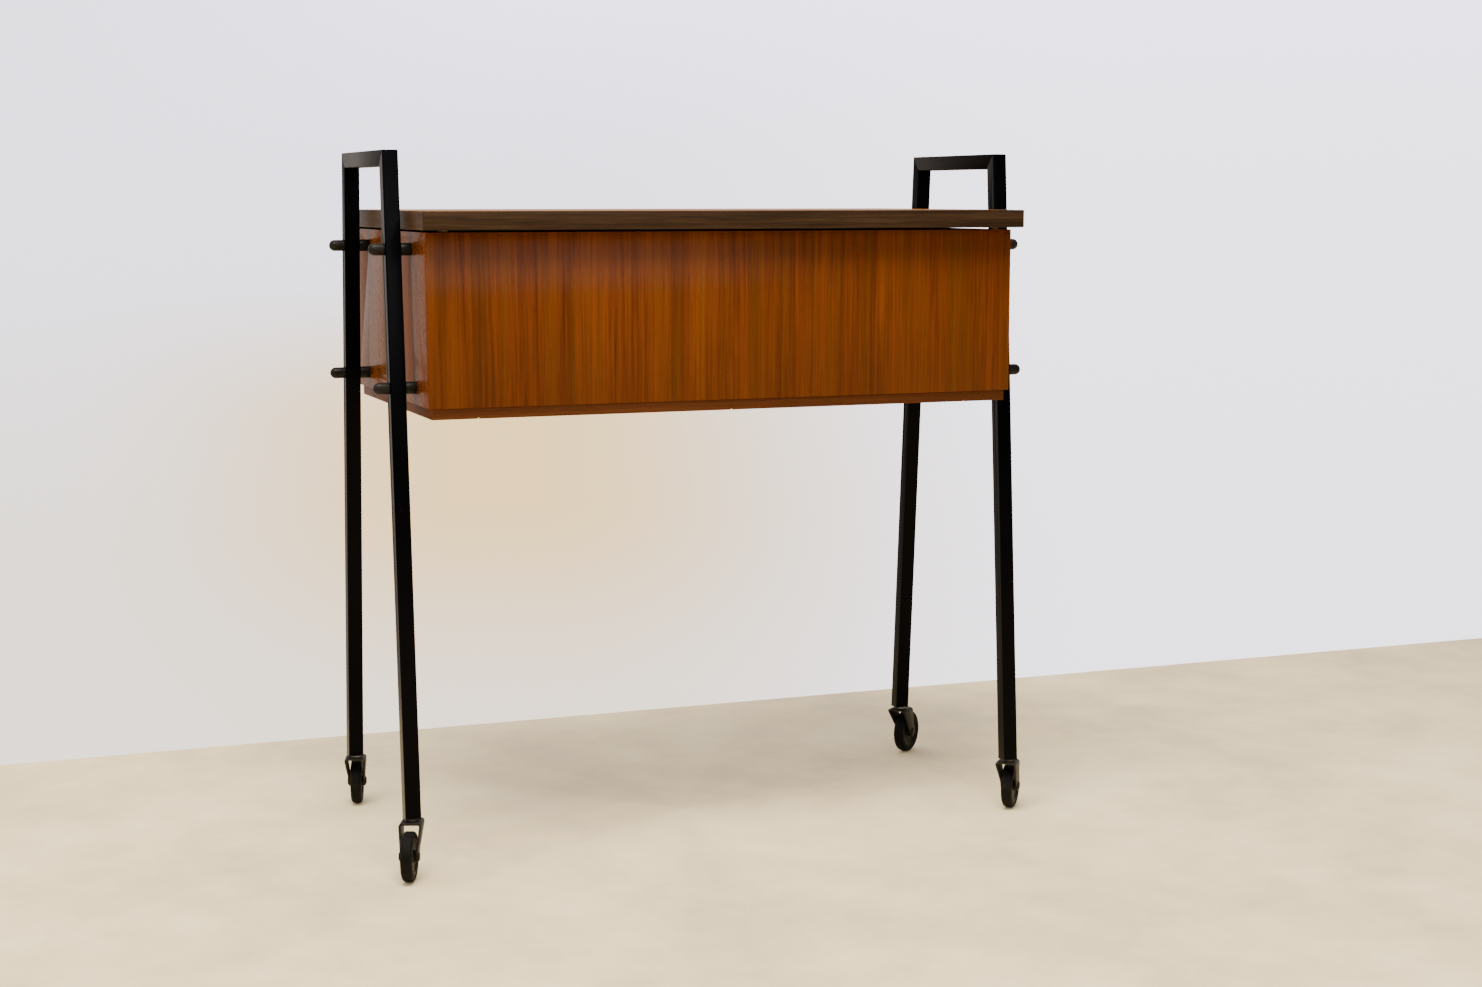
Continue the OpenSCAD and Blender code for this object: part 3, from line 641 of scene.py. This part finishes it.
def joint_fingers(tray):
    """The tongues of the end boards, which show through the sides at each corner."""
    made = []
    for side_low, side_high in solids(tray + "_sides"):
        for end_low, end_high in solids(tray + "_ends"):
            pitch = (side_high.z - side_low.z) / FINGERS
            for k in range(1, FINGERS, 2):
                bpy.ops.object.select_all(action="DESELECT")
                middle = Vector(((end_low.x + end_high.x) / 2, (side_low.y + side_high.y) / 2,
                                 side_low.z + (k + 0.5) * pitch))
                size = (end_high.x - end_low.x + 2 * proud, side_high.y - side_low.y + 2 * proud, pitch)
                bpy.ops.mesh.primitive_cube_add(size=1, location=middle, scale=size)
                made.append(bpy.context.object)
    bpy.ops.object.select_all(action="DESELECT")
    for finger in made:
        finger.select_set(True)
    bpy.context.view_layer.objects.active = made[0]
    bpy.ops.object.join()
    piece = bpy.context.object
    bpy.ops.object.transform_apply(location=True, rotation=True, scale=True)
    piece.name = tray + "_fingers"
    piece.data.materials.append(beech_y.material)
    bevelled(piece, 0.15 * MM)
    face_with(piece, beech_end, (0, 1, 0))
    face_with(piece, beech_end, (0, -1, 0))
    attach(piece, tray)


for tray in ("upper_tray", "lower_tray"):
    sides = eased(tray + "_sides", 0.7 * MM, beech_x, segments=3)
    face_with(sides, beech_end, (1, 0, 0))
    face_with(sides, beech_end, (-1, 0, 0))
    eased(tray + "_ends", 0.7 * MM, beech_y, segments=3)
    eased(tray + "_bottom", 0.1 * MM, birch)
    eased(tray + "_dividers", 0.6 * MM, beech_y, segments=3)
    joint_fingers(tray)
eased("upper_tray_spool_pins", 0.2 * MM, turned_birch)

# ---------------------------------------------------------------------------
# The room: a pale floor that ends half a metre behind the trolley, a bright surround with painted light
# on it (a painted warm glow of bounced light under the case), and three large soft lamps: overhead, in
# front and at the left.
# ---------------------------------------------------------------------------

floor_paint = Finish("pale floor", IOR=1.3)
mottled = floor_paint.place.noise(3.2, 5, 0.6)
worn = floor_paint.place.noise(11, 5, 0.65)
floor_paint.paint("Base Color", (mottled * 0.65 + worn * 0.35).ramp(
    (0.36, (0.66, 0.53, 0.33)), (0.50, (0.84, 0.67, 0.38)), (0.62, (0.93, 0.77, 0.46))))
floor_paint.paint("Roughness", 0.7 + worn * 0.2)

floor_l = 12
floor_back = 0.475
bpy.ops.object.select_all(action="DESELECT")
bpy.ops.mesh.primitive_plane_add(size=floor_l, location=(0, floor_back - floor_l / 2, 0))
floor = bpy.context.object
floor.name = "floor"
bpy.ops.object.transform_apply(location=True, rotation=True, scale=True)
floor.data.materials.append(floor_paint.material)

world = bpy.data.worlds.new("soft room")
bpy.context.scene.world = world
world.use_nodes = True
sky = world.node_tree.nodes["Background"]
direction = Wire(world.node_tree, world.node_tree.nodes.new("ShaderNodeTexCoord").outputs["Generated"])


def share(axis, low, high):
    """How far a direction points along an axis, from 0 at low to 1 at high."""
    return direction.node("ShaderNodeSeparateXYZ", {}, {0: direction}, out=axis).step(low, high)


# The room lights the trolley and is mirrored in it. Behind it the camera sees a backdrop with painted
# light:
# brighter to the right and at the top middle, warmer and darker near the floor line, and a painted warm
# glow under the case.
behind = share(1, -0.6, 0.5)
rightward = share(0, 0.28, 0.50)
upward = share(2, 0.0, 0.14) * share(0, 0.06, 0.30)
downward = share(2, 0.03, -0.16) * (1 - 0.75 * rightward)
# Painted light: the place on the backdrop, just under the case, where a warm glow of bounced light is
# painted
painted_glow_under_case = (share(2, -0.03, -0.10) * (1 - 0.8 * share(2, -0.13, -0.23))
              * share(0, 0.06, 0.24) * (1 - share(0, 0.27, 0.46)))
soft_light = behind.ramp((0.0, (0.23, 0.23, 0.24)), (1.0, (1.66, 1.64, 1.74)))
mirrored = behind.ramp((0.0, (0.05, 0.05, 0.05)), (1.0, (1.04, 0.92, 0.86))).tinted(
    (0.92, 0.74, 0.56), downward * 0.8)
# Painted light on the backdrop: brighter to the right and at the top middle, painted warmer shade near
# the floor line, painted warm glow under the case
wall = rightward.ramp((0.0, (2.45, 2.38, 2.80)), (1.0, (2.95, 2.80, 3.20)))
wall = wall.tinted((3.35, 3.05, 4.00), upward).tinted((2.18, 1.96, 1.76), downward)
wall = wall.tinted((2.14, 1.47, 0.68), painted_glow_under_case)
glossy = Wire(world.node_tree, world.node_tree.nodes.new("ShaderNodeLightPath").outputs["Is Glossy Ray"])
seen = Wire(world.node_tree, glossy.socket.node.outputs["Is Camera Ray"])
light = soft_light.tinted(mirrored, glossy).tinted(wall, seen)
world.node_tree.links.new(light.socket, sky.inputs["Color"])


def lamp(name, place, target, size, spread, power, colour):
    light = bpy.data.lights.new(name, "AREA")
    light.shape = "RECTANGLE"
    light.size, light.size_y = size
    light.spread = math.radians(spread)
    light.energy = power
    light.color = colour
    holder = bpy.data.objects.new(name, light)
    bpy.context.scene.collection.objects.link(holder)
    holder.location = place
    holder.rotation_euler = (Vector(target) - Vector(place)).to_track_quat("-Z", "Y").to_euler()


lamp("ceiling lamp", (-0.5, -0.85, 2.6), (-0.1, 0, 0), (1.3, 1.0), 170, 106, (1.0, 0.93, 0.82))
lamp("front lamp", (0.4, -3.4, 1.9), (0, 0, 0.42), (2.0, 1.2), 70, 6, (1.0, 0.97, 0.94))
lamp("left lamp", (-2.8, -1.0, 2.4), (0, 0, 0.4), (2.0, 1.6), 100, 11, (1.0, 0.97, 0.94))

camera_data = bpy.data.cameras.new("camera")
camera_data.sensor_width = 36
camera_data.lens = 54.77
camera = bpy.data.objects.new("camera", camera_data)
bpy.context.scene.collection.objects.link(camera)
camera.location = (-0.8183, -2.2999, 0.6735)
camera.rotation_euler = (math.radians(82.52), 0, math.radians(-21.17))
bpy.context.scene.camera = camera
